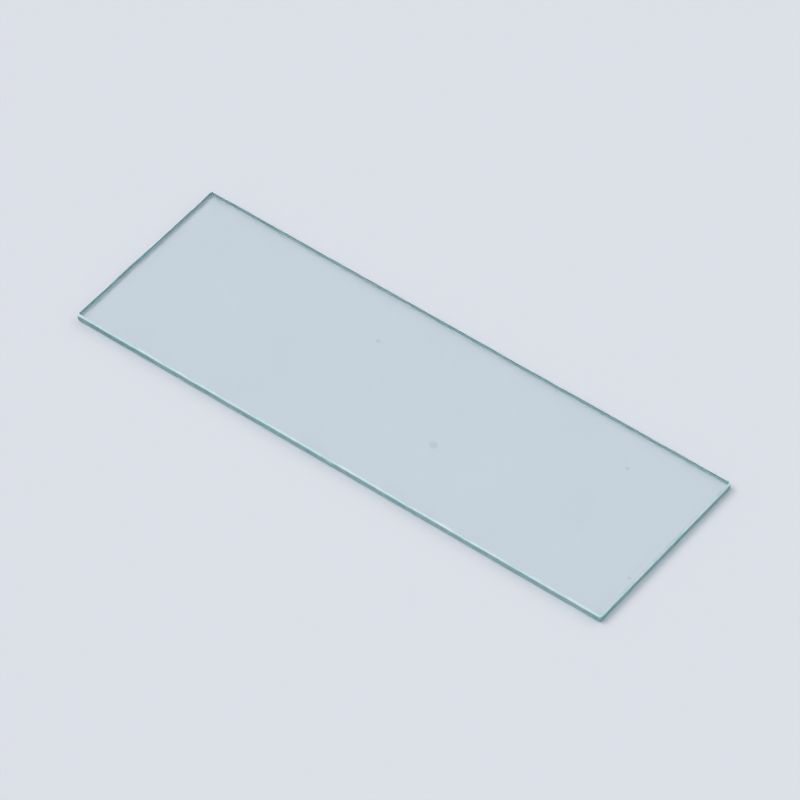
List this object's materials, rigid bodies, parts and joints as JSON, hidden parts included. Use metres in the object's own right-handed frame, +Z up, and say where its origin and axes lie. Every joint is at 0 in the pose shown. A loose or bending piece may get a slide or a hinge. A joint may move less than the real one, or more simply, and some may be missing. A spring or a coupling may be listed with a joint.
{
  "type": "microscope slide",
  "caption": "Flat rectangular plate of clear glass with polished faces and ground, bevelled edges, for carrying a specimen under a microscope.",
  "frame": {"origin": "centre of the polished face that the slide lies on", "axes": "+X along the length, +Y across the width, +Z up through the glass to the upper face"},
  "size_m": [0.0762, 0.0254, 0.0011],
  "materials": {
    "clear_glass": "polished faces, fine-ground edges"
  },
  "bodies": {
    "root": {"slide_glass": "clear_glass"}
  },
  "joints": []
}
